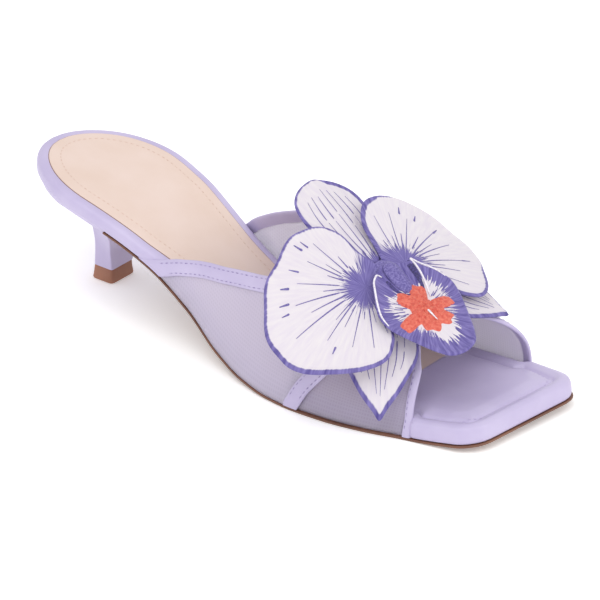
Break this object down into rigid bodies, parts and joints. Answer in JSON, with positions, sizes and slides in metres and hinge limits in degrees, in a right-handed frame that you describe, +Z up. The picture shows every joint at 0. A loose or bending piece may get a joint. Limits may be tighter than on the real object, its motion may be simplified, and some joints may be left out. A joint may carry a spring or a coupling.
{
  "type": "kitten-heel mule",
  "caption": "Open-toe mule on a kitten heel, with crossed sheer straps bound in leather, a square toe and an embroidered orchid on the vamp.",
  "frame": {"origin": "on the floor, under the middle of the shoe's bounding box", "axes": "+X towards the toe, +Y towards the medial side of a right foot, +Z up from the floor"},
  "size_m": [0.2356, 0.1006, 0.0689],
  "materials": {
    "lilac_leather": "smooth satin",
    "lilac_mesh": "sheer woven mesh with leather bindings",
    "brown_sole_leather": "satin sealed edge",
    "beige_sock_leather": "matt",
    "embroidered_cloth": "satin-stitched cloth"
  },
  "bodies": {
    "root": {"outsole": "brown_sole_leather", "footbed": "lilac_leather", "insole": "beige_sock_leather", "heel": "lilac_leather", "heel_top_piece": "brown_sole_leather", "upper": "lilac_mesh", "petal_lateral": "embroidered_cloth", "petal_medial": "embroidered_cloth", "sepal_back": "embroidered_cloth", "sepal_front_lateral": "embroidered_cloth", "sepal_front_medial": "embroidered_cloth", "lip": "embroidered_cloth", "column": "embroidered_cloth"}
  },
  "joints": []
}
